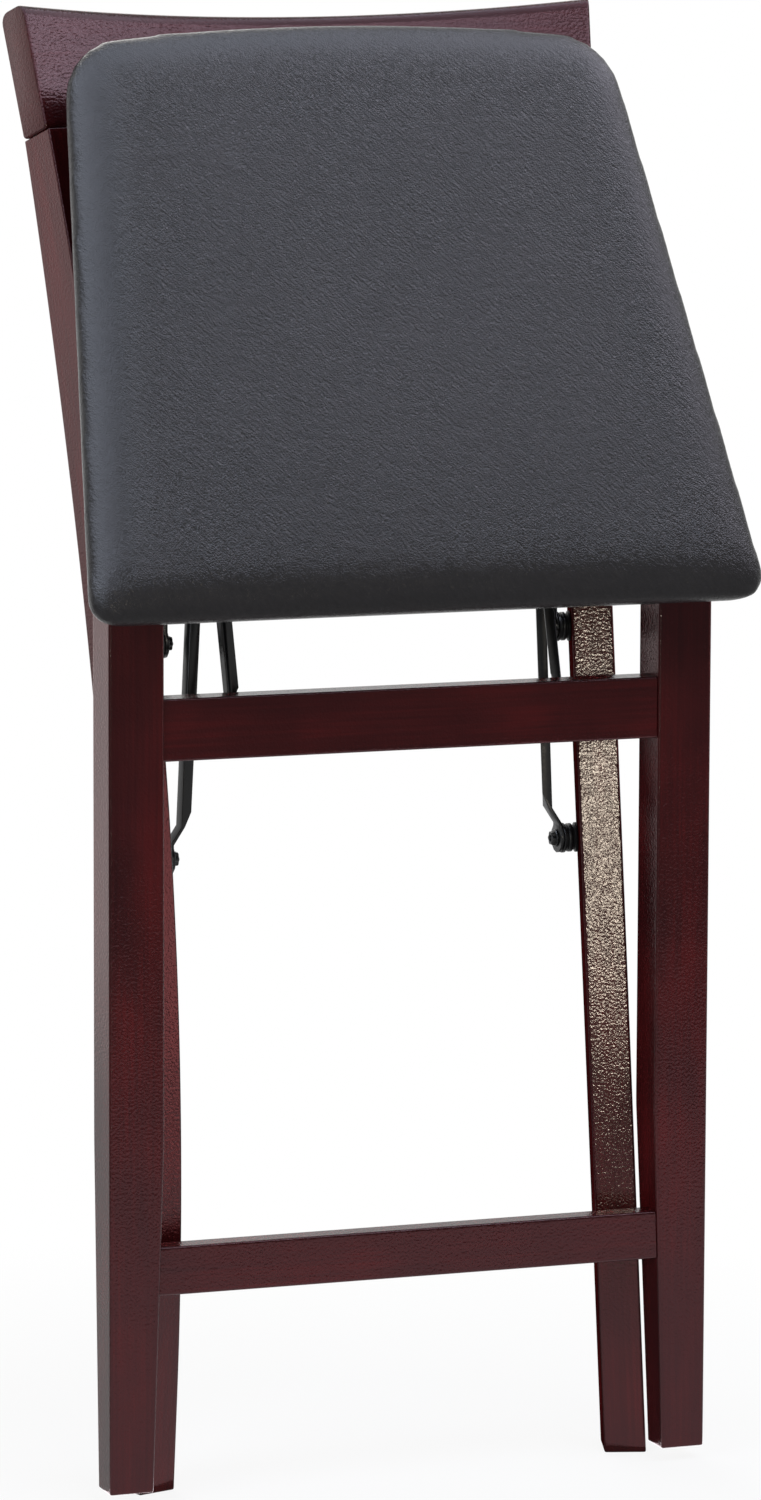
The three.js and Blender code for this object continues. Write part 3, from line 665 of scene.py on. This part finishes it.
# Profiles of turned pieces: X from the head's end, radius, and how far the radius has lobes.
BOLT_HEAD = (
    (1.7, 0.05, 0), (1.5, 1.9, 0), (0.3, 2.3, 0), (0.0, 2.8, 0), (0.1, 4.2, 1), (0.5, 4.9, 1),
    (1.0, 5.1, 1), (2.8, 5.2, 1), (3.1, 5.7, 0), (3.4, 5.95, 0), (4.0, 5.95, 0), (4.2, 5.8, 0),
)
RIVET_HEIGHT, RIVET_RADIUS, SHANK_RADIUS = 3.1, 6, 3.0

# The spacer's ribbed profile from bore to bore: share of the length, radius and no lobes.
SPACER_PROFILE = (
    (0, 3.4, 0), (0, 9.7, 0), (0.04, 10.2, 0), (0.17, 10.2, 0), (0.2, 9.9, 0), (0.23, 8.7, 0),
    (0.33, 8.7, 0), (0.36, 9.5, 0), (0.42, 9.8, 0), (0.58, 9.8, 0), (0.64, 9.5, 0), (0.67, 8.7, 0),
    (0.77, 8.7, 0), (0.8, 9.9, 0), (0.83, 10.2, 0), (0.97, 10.2, 0), (1, 9.8, 0), (1, 3.4, 0),
)


def slanted(pivot, end, flange, root_shift, tip_shift):
    """Makes a function that draws in a flange's two ends: their root by one length, their tip by another.

    The link runs from a pivot to an end in the side view. The flange's ends lie at two stations along it, and
    its tip is what reaches least across the stool there.
    """
    pivot, end = np.array(pivot, float), np.array(end, float)
    along = (end - pivot) / np.linalg.norm(end - pivot)

    def shape(points):
        station = (points[:, 1:] - pivot) @ along
        for at, sign in zip(flange, (1, -1)):
            near = np.abs(station - at) < 0.6
            reach = np.abs(points[:, 0])
            tip = near & (reach < reach[near].min() + 1)
            points[tip, 1:] += along * sign * tip_shift
            points[near & ~tip, 1:] += along * sign * root_shift
        return points

    return shape


def eased_copy(node, width, shape=None):
    """A merged copy of a CAD node, shaped by a function of its points, its sharp edges eased by a bevel."""
    obj = bpy.data.objects.new(node + "_eased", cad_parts[node].data.copy())
    scene.collection.objects.link(obj)
    weld = obj.modifiers.new("weld", "WELD")
    weld.merge_threshold = 1e-5
    dissolve = obj.modifiers.new("flat", "DECIMATE")
    dissolve.decimate_type, dissolve.angle_limit = "DISSOLVE", math.radians(1)
    apply_modifiers(obj)
    if shape:
        set_points(obj, shape(points_of(obj)))
    bevel = obj.modifiers.new("eased", "BEVEL")
    bevel.width, bevel.segments, bevel.angle_limit = width / METRE, 2, math.radians(40)
    bevel.limit_method, bevel.harden_normals = "ANGLE", True
    apply_modifiers(obj)
    obj.data.shade_smooth()
    obj.data.set_sharp_from_angle(angle=SHARP_ANGLE)
    return obj


def turned(profile, y, z, side, count=42, lobes=0.0):
    """A form turned about a line along X, from rows of X, radius r and a share of the lobes.

    The radius is r (1 - share lobes (1 - cos 6t) / 2).
    """
    x, radius, waved = (np.array(column, float)[:, None] for column in zip(*profile))
    turn = np.linspace(0, 2 * math.pi, count, endpoint=False)
    radius = radius * (1 - lobes * waved * (1 - np.cos(6 * turn)) / 2)
    across = np.broadcast_to(x, radius.shape)
    return np.stack([across, y + radius * np.cos(turn), z + radius * np.sin(turn)], -1) * (side, 1, 1)


def pins(body, names):
    """Pins and bolts, turned in their CAD node's place: pins have a dome, bolts a lobed head on a flange."""
    turn = np.radians(np.linspace(89, 0, 9))
    dome = [(RIVET_HEIGHT - RIVET_HEIGHT * math.sin(a), RIVET_RADIUS * math.cos(a), 0) for a in turn]
    dome += [(3.9, RIVET_RADIUS, 0), (4.2, 5.8, 0)]
    for name in names:
        for side, sign in SIDES.items():
            node = f"{name}_{side}"
            low, high = ((np.array(corner) - SHIFT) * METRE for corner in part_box(node))
            start, end = sorted(np.abs((low[0], high[0])))
            y, z = (low + high)[1:] / 2
            length = end - start
            shank = [(4.2, SHANK_RADIUS, 0), (length - 0.3, SHANK_RADIUS, 0)]
            shank += [(length, SHANK_RADIUS - 0.3, 0), (length, 0.05, 0)]
            rows = [*(BOLT_HEAD if name.endswith("bolt") else dome), *shank]
            points = turned([(start + x, r, wave) for x, r, wave in rows], y, z, sign, lobes=0.2)
            flat = points.reshape(-1, 3)
            piece = make(node, flat, outward(flat, skin_faces(*points.shape[:2])))
            finish_piece(piece, STEEL, body, "steel", node)


def spacers():
    """Ribbed spacers, from the plates to the legs. The far end follows the slant of the leg's inner face."""
    start = BOLT_PLATE + PLATE + SLIDE_GAP
    for name, (y, z) in (("upper_spacer", UPPER_BOLT), ("lower_spacer", LOWER_BOLT)):
        for side, sign in SIDES.items():
            node = f"{name}_{side}"
            points = turned(SPACER_PROFILE, y, z, 1, count=56)
            reach = rear_inner(points[..., 2]) - TOUCH_GAP
            face = (reach + points[..., 1] * math.sin(TOE_IN)) / math.cos(TOE_IN)
            points[..., 0] = start + points[..., 0] * (face - start)
            flat = (points * (sign, 1, 1)).reshape(-1, 3)
            piece = make(node, flat, outward(flat, ring_faces(*points.shape[:2])))
            finish_piece(piece, SPACER, "rear_frame", "spacer", node)


def steel_parts():
    """The folded steel parts with eased edges, the pins and bolts, and the spacers."""
    shapes = {
        "brace_links": slanted(LOWER_BOLT, BRACE_PIVOT, flange=(22, 222.6), root_shift=0, tip_shift=10),
        "tie_links": slanted(TIE_PIVOT, TIE_JOIN, flange=(20, 169.4), root_shift=-9, tip_shift=-1),
    }
    for body, names in FOLDED_NODES.items():
        for node in (f"{name}_{side}" for name in names for side in SIDES):
            finish_piece(eased_copy(node, 0.4, shapes.get(body)), STEEL, body, "steel", node)
    for body, names in PIN_NODES.items():
        pins(body, names)
    spacers()


# Materials.


def paint(code):
    """A colour written as six hexadecimal digits, in linear light."""
    parts = [int(code[k : k + 2], 16) / 255 for k in (0, 2, 4)]
    return tuple(c / 12.92 if c <= 0.04045 else ((c + 0.055) / 1.055) ** 2.4 for c in parts) + (1,)


class Shade:
    """A material and short ways to add its nodes. Each way but add and set gives an output."""

    def __init__(self, name):
        self.material = bpy.data.materials.new(name)
        self.material.use_nodes = True
        self.tree = self.material.node_tree
        self.shader = self.tree.nodes["Principled BSDF"]

    def add(self, kind, inputs=None, **settings):
        """A new node with its settings, and its inputs linked or set."""
        node = self.tree.nodes.new("ShaderNode" + kind)
        for key, value in settings.items():
            setattr(node, key, value)
        self.set(node, inputs or {})
        return node

    def set(self, node, inputs):
        """Links or sets a node's inputs, by name or number."""
        for key, value in inputs.items():
            if isinstance(value, bpy.types.NodeSocket):
                self.tree.links.new(value, node.inputs[key])
            else:
                node.inputs[key].default_value = value

    def noise(self, vector, scale, detail=3.0, rough=0.5, stretch=None):
        """Soft noise, with its coordinates stretched by three scales where they are given."""
        if stretch:
            vector = self.add("Mapping", {"Vector": vector, "Scale": stretch}).outputs["Vector"]
        inputs = {"Vector": vector, "Scale": scale, "Detail": detail, "Roughness": rough}
        return self.add("TexNoise", inputs).outputs["Fac"]

    def ramp(self, factor, *stops):
        """A colour that runs through stops, each a place from 0 to 1 and a colour."""
        node = self.add("ValToRGB", {"Fac": factor})
        band = node.color_ramp
        while len(band.elements) < len(stops):
            band.elements.new(0.5)
        for element, (place, colour) in zip(band.elements, stops):
            element.position, element.color = place, colour
        return node.outputs["Color"]

    def span(self, value, low, high, to_low=0.0, to_high=1.0):
        """A value moved from one range to another, and held inside it."""
        inputs = {"Value": value, "From Min": low, "From Max": high, "To Min": to_low, "To Max": to_high}
        return self.add("MapRange", inputs).outputs["Result"]

    def mix(self, factor, first, second, blend="MIX"):
        """Two colours, mixed or blended by a factor."""
        inputs = {0: factor, 6: first, 7: second}
        return self.add("Mix", inputs, data_type="RGBA", blend_type=blend).outputs[2]

    def times(self, first, second):
        """The product of two values."""
        return self.add("Math", {0: first, 1: second}, operation="MULTIPLY").outputs[0]

    def sum(self, *pairs):
        """The sum of values, each times its weight."""
        total, *rest = (self.times(value, weight) for value, weight in pairs)
        for part in rest:
            total = self.add("Math", {0: total, 1: part}, operation="ADD").outputs[0]
        return total

    def bump(self, height, distance, strength=1.0, after=None):
        """The normal over a height in metres, on top of another bump where one is given."""
        inputs = {"Height": height, "Distance": distance, "Strength": strength}
        if after:
            inputs["Normal"] = after
        return self.add("Bump", inputs).outputs["Normal"]


def wood_material():
    """Dark red-brown lacquer over straight grain, with an orange-peel skin and painted shade that darkens the
    arrises.
    """
    s = Shade("wood_lacquer")
    grain = s.add("Attribute", attribute_name="grain").outputs["Vector"]
    arris = s.add("Attribute", attribute_name="arris").outputs["Fac"]
    shade_dulled = s.add("Attribute", attribute_name="shade_dulled").outputs["Fac"]
    fibre = s.noise(grain, 1.0, 6.0, 0.62, (9, 420, 420))
    broad = s.noise(grain, 1.0, 3.0, 0.5, (5, 26, 26))
    cloud = s.noise(grain, 14.0, 2.0, 0.5)
    tone = s.sum((fibre, 0.3), (broad, 0.4), (cloud, 0.3))
    colour = s.ramp(tone, (0.36, paint("230709")), (0.5, paint("330c0d")), (0.64, paint("480f10")))
    # Painted shade: on the rounded arrises the colour is mixed up to halfway towards a darker red.
    colour = s.mix(s.times(arris, 0.5), colour, paint("210809"))
    peel = s.noise(grain, 560.0, 1.0, 0.5)
    pores = s.noise(grain, 1.0, 4.0, 0.6, (60, 1500, 1500))
    normal = s.bump(peel, 0.00024)
    normal = s.bump(pores, 0.00003, 0.6, normal)
    s.set(s.shader, {
        "Base Color": colour,
        "Roughness": s.span(cloud, 0.3, 0.7, 0.15, 0.19),
        # Painted shade: the gloss is taken away on the marked faces.
        "Specular IOR Level": s.span(shade_dulled, 0.0, 1.0, 0.08, 0.0),
        "Specular Tint": (1.0, 0.7, 0.72, 1),
        "Normal": normal,
    })
    return s.material


def vinyl_material():
    """Charcoal vinyl with fine diagonal wrinkles over small cells, smoother where it is pulled taut."""
    s = Shade("seat_vinyl")
    place = s.add("Attribute", attribute_name="seat").outputs["Vector"]
    taut = s.add("Attribute", attribute_name="taut").outputs["Fac"]
    drift = s.add("TexNoise", {"Vector": place, "Scale": 60.0, "Detail": 2.0}).outputs["Color"]
    drifted = s.mix(0.0022, place, drift, "ADD")
    diagonal = (0, 0, math.radians(50))
    skewed = s.add("Mapping", {"Vector": drifted, "Rotation": diagonal}).outputs["Vector"]
    streak = s.noise(skewed, 1.0, 2.0, 0.5, (165, 480, 330))
    cells = s.add("TexVoronoi", {"Vector": skewed, "Scale": 620.0}, feature="DISTANCE_TO_EDGE")
    grain = s.sum((streak, 0.8), (s.span(cells.outputs["Distance"], 0.0, 0.25), 0.2))
    worn = s.noise(place, 9.0, 3.0, 0.5)
    colour = s.ramp(s.sum((grain, 0.6), (worn, 0.4)), (0.3, paint("1f1e1f")), (0.7, paint("292728")))
    depth = s.span(taut, 0.0, 1.0, 0.0018, 0.0005)
    s.set(s.shader, {
        "Base Color": colour,
        "Roughness": s.span(grain, 0.2, 0.8, 0.24, 0.2),
        "Specular IOR Level": 0.1,
        "Normal": s.bump(grain, depth),
    })
    return s.material


def steel_material():
    """Black lacquered steel, half gloss, with a slightly uneven skin."""
    s = Shade("black_steel")
    place = s.add("TexCoord").outputs["Object"]
    skin = s.noise(place, 260.0, 3.0, 0.5)
    rubbed = s.noise(place, 45.0, 4.0, 0.6)
    s.set(s.shader, {
        "Base Color": s.ramp(rubbed, (0.3, paint("080809")), (0.75, paint("121213"))),
        "Roughness": s.span(rubbed, 0.3, 0.7, 0.24, 0.36),
        "Specular IOR Level": 0.25,
        "Normal": s.bump(skin, 0.00012),
    })
    return s.material


def spacer_material():
    """Satin black plastic."""
    s = Shade("black_plastic")
    place = s.add("TexCoord").outputs["Object"]
    skin = s.noise(place, 700.0, 2.0, 0.5)
    s.set(s.shader, {
        "Base Color": s.ramp(s.noise(place, 60.0), (0.3, paint("0b0b0c")), (0.7, paint("121213"))),
        "Roughness": s.span(skin, 0.3, 0.7, 0.36, 0.48),
        "Specular IOR Level": 0.25,
        "Normal": s.bump(skin, 0.00005),
    })
    return s.material


def plywood_material():
    """Raw plywood: brown plies stacked up from the base. It shows only in the gap between vinyl and hem."""
    s = Shade("plywood")
    place = s.add("Attribute", attribute_name="seat").outputs["Vector"]
    plies = s.add("TexWave", {"Vector": place, "Scale": 190.0, "Distortion": 0.6}, bands_direction="Z")
    fibres = s.noise(place, 1.0, 5.0, 0.6, (900, 40, 900))
    tone = s.sum((plies.outputs["Fac"], 0.6), (fibres, 0.4))
    s.set(s.shader, {
        "Base Color": s.ramp(tone, (0.3, paint("5a4330")), (0.7, paint("8a6f50"))),
        "Roughness": 0.8,
        "Specular IOR Level": 0.2,
        "Normal": s.bump(fibres, 0.0001),
    })
    return s.material


def cover_material():
    """Black unwoven dust cover: a mat of short fibres with pressed dots."""
    s = Shade("dust_cover")
    place = s.add("Attribute", attribute_name="seat").outputs["Vector"]
    fibres = s.noise(place, 1400.0, 5.0, 0.7)
    dots = s.add("TexVoronoi", {"Vector": place, "Scale": 380.0, "Randomness": 0.15}).outputs["Distance"]
    height = s.sum((fibres, 1.0), (s.span(dots, 0.1, 0.35, 0.0, 0.8), 1.0))
    s.set(s.shader, {
        "Base Color": s.ramp(fibres, (0.3, paint("101011")), (0.75, paint("232324"))),
        "Roughness": s.span(fibres, 0.2, 0.8, 0.85, 0.95),
        "Specular IOR Level": 0.2,
        "Normal": s.bump(height, 0.0002),
    })
    return s.material


# Studio.


BLUE, MAUVE, WARM = (0.74, 0.82, 1.0), (0.86, 0.84, 1.0), (1.0, 0.9, 0.74)
UPPER, LEG = (0, 0, 0.75), (0.19, 0, 0.42)

# Each lamp's aim, azimuth and elevation, distance, width, height, shine and colour. The azimuth runs from the
# front to the right, in degrees, and the shine is a radiance, where the white background has 1.
LAMPS = {
    "high_lamp": (UPPER, 30, 56, 3.6, 3.0, 1.1, 5.0, BLUE),
    "camera_lamp": (LEG, -12.1, 7.9, 4.7, 0.6, 0.6, 27.0, WARM),
    "left_lamp": ((0, 0, 0.6), -64, 17, 3.6, 2.0, 2.4, 3.5, (0.82, 0.91, 1.0)),
    "back_lamp": (UPPER, 180, 32, 3.6, 2.0, 2.0, 4.0, (1.0, 0.96, 0.92)),
}

# Lamps that show in gloss alone: these on every piece, the others on the wood only.
SHEENS = {
    "high_sheen": (UPPER, 28, 60, 3.6, 3.6, 1.66, 2.8, BLUE),
    "top_sheen": (UPPER, 24, 89, 3.6, 3.6, 2.9, 8.5, BLUE),
    "left_sheen": (UPPER, -76, 46, 3.6, 5.6, 2.8, 12.0, BLUE),
    "far_right_sheen": (UPPER, 88, 44, 3.6, 3.6, 2.4, 7.4, MAUVE),
}
WOOD_SHEENS = {
    "right_sheen": ((0, 0, 0.95), 25, 38, 2.0, 2.4, 0.42, 25.0, (0.8, 0.81, 0.98)),
    "camera_sheen": (LEG, -12.1, 7.9, 4.7, 0.5, 0.5, 600.0, (0.79, 1.0, 0.78)),
    "back_sheen": ((-0.65, 0, 0.6), 180, 0, 1.6, 1.5, 1.2, 0.75, (1.0, 0.62, 0.62)),
    "side_sheen": (UPPER, -125, 5, 3.6, 2.0, 2.0, 4.1, (1.0, 0.78, 0.78)),
    "low_sheen": ((0, 0, 0.3), 55, 3, 3.6, 1.6, 1.6, 15.0, (1.0, 0.42, 0.42)),
    "floor_sheen": ((0.2, -0.7125, 1.0), 0, -89.9, 0.995, 2.4, 1.275, 5.0, (1.0, 0.85, 0.9)),
}


def lamp(name, aim, azimuth, elevation, distance, width, height, shine, colour, sheen=False, lit=None):
    """A soft rectangular lamp that faces its aim, with a power of shine times pi times its area.

    A sheen shows in gloss alone. Where a collection is given, the lamp lights that alone.
    """
    azimuth, elevation = math.radians(azimuth), math.radians(elevation)
    level = Vector((math.sin(azimuth), -math.cos(azimuth), 0)) * math.cos(elevation)
    data = bpy.data.lights.new(name, "AREA")
    data.shape, data.size, data.size_y = "RECTANGLE", width, height
    data.energy, data.color = shine * math.pi * width * height, colour
    obj = bpy.data.objects.new(name, data)
    scene.collection.objects.link(obj)
    obj.visible_camera, obj.visible_diffuse = False, not sheen
    if lit:
        obj.light_linking.receiver_collection = lit
    towards = level + Vector((0, 0, math.sin(elevation)))
    obj.location = Vector(aim) + towards * distance
    obj.rotation_euler = (-towards).to_track_quat("-Z", "Y").to_euler()


def seen_as_white(tree):
    """1 for the rays that see the plain white background: camera, glossy and transmission rays."""
    rays = tree.nodes.new("ShaderNodeLightPath")
    seen = rays.outputs["Is Camera Ray"]
    for name in ("Is Glossy Ray", "Is Transmission Ray"):
        more = tree.nodes.new("ShaderNodeMath")
        more.operation = "MAXIMUM"
        tree.links.new(seen, more.inputs[0])
        tree.links.new(rays.outputs[name], more.inputs[1])
        seen = more.outputs[0]
    return seen


def white_world():
    """A world that lights softly and is seen as plain white."""
    world = bpy.data.worlds.new("studio")
    scene.world = world
    world.use_nodes = True
    tree = world.node_tree
    lit = tree.nodes["Background"]
    white, mix = tree.nodes.new("ShaderNodeBackground"), tree.nodes.new("ShaderNodeMixShader")
    lit.inputs["Color"].default_value, lit.inputs["Strength"].default_value = (0.96, 0.98, 1, 1), 0.3
    white.inputs["Color"].default_value, white.inputs["Strength"].default_value = (1, 1, 1, 1), 1
    tree.links.new(seen_as_white(tree), mix.inputs[0])
    tree.links.new(lit.outputs[0], mix.inputs[1])
    tree.links.new(white.outputs[0], mix.inputs[2])
    tree.links.new(mix.outputs[0], tree.nodes["World Output"].inputs["Surface"])


def white_floor():
    """A white floor that keeps the stool's shadow close to it and turns plain white further out."""
    mesh = bpy.data.meshes.new("floor")
    reach = 40
    corners = [(x * reach, y * reach, 0) for x, y in ((-1, -1), (1, -1), (1, 1), (-1, 1))]
    mesh.from_pydata(corners, [], [(0, 1, 2, 3)])
    floor = bpy.data.objects.new("floor", mesh)
    scene.collection.objects.link(floor)
    s = Shade("floor_white")
    s.set(s.shader, {"Base Color": (0.92, 0.92, 0.92, 1), "Roughness": 0.9, "Specular IOR Level": 0.0})
    glow = s.add("Emission", {"Color": (1, 1, 1, 1), "Strength": 1.0}).outputs[0]
    place = s.add("TexCoord").outputs["Object"]
    far = s.add("VectorMath", {0: place}, operation="LENGTH").outputs["Value"]
    share = s.times(seen_as_white(s.tree), s.span(far, 0.2, 0.7, 0.88, 1.0))
    blend = s.add("MixShader", {0: share, 1: s.shader.outputs[0], 2: glow}).outputs[0]
    s.tree.links.new(blend, s.tree.nodes["Material Output"].inputs["Surface"])
    mesh.materials.append(s.material)


def studio():
    """The white room and its lamps."""
    white_world()
    white_floor()
    for name, place in LAMPS.items():
        lamp(name, *place)
    for name, place in SHEENS.items():
        lamp(name, *place, sheen=True)
    for name, place in WOOD_SHEENS.items():
        lamp(name, *place, sheen=True, lit=WOODEN)
    scene.view_settings.view_transform = "Standard"


camera()

# The collection that the wood's own sheens light.
WOODEN = bpy.data.collections.new("wooden")
WOOD, VINYL = wood_material(), vinyl_material()
STEEL, SPACER = steel_material(), spacer_material()
PLYWOOD, COVER = plywood_material(), cover_material()
front_legs()
front_rail("front_apron", APRON_TOP, APRON_HEIGHT, APRON_THICKNESS, 3)
front_rail("foot_stretcher", STRETCHER_TOP, STRETCHER_HEIGHT, STRETCHER_THICKNESS, 4)
rear_legs()
crest_rail()
back_rail()
seat_pad()
seat_board()
vinyl_hem()
dust_cover()
staples()
steel_parts()
studio()
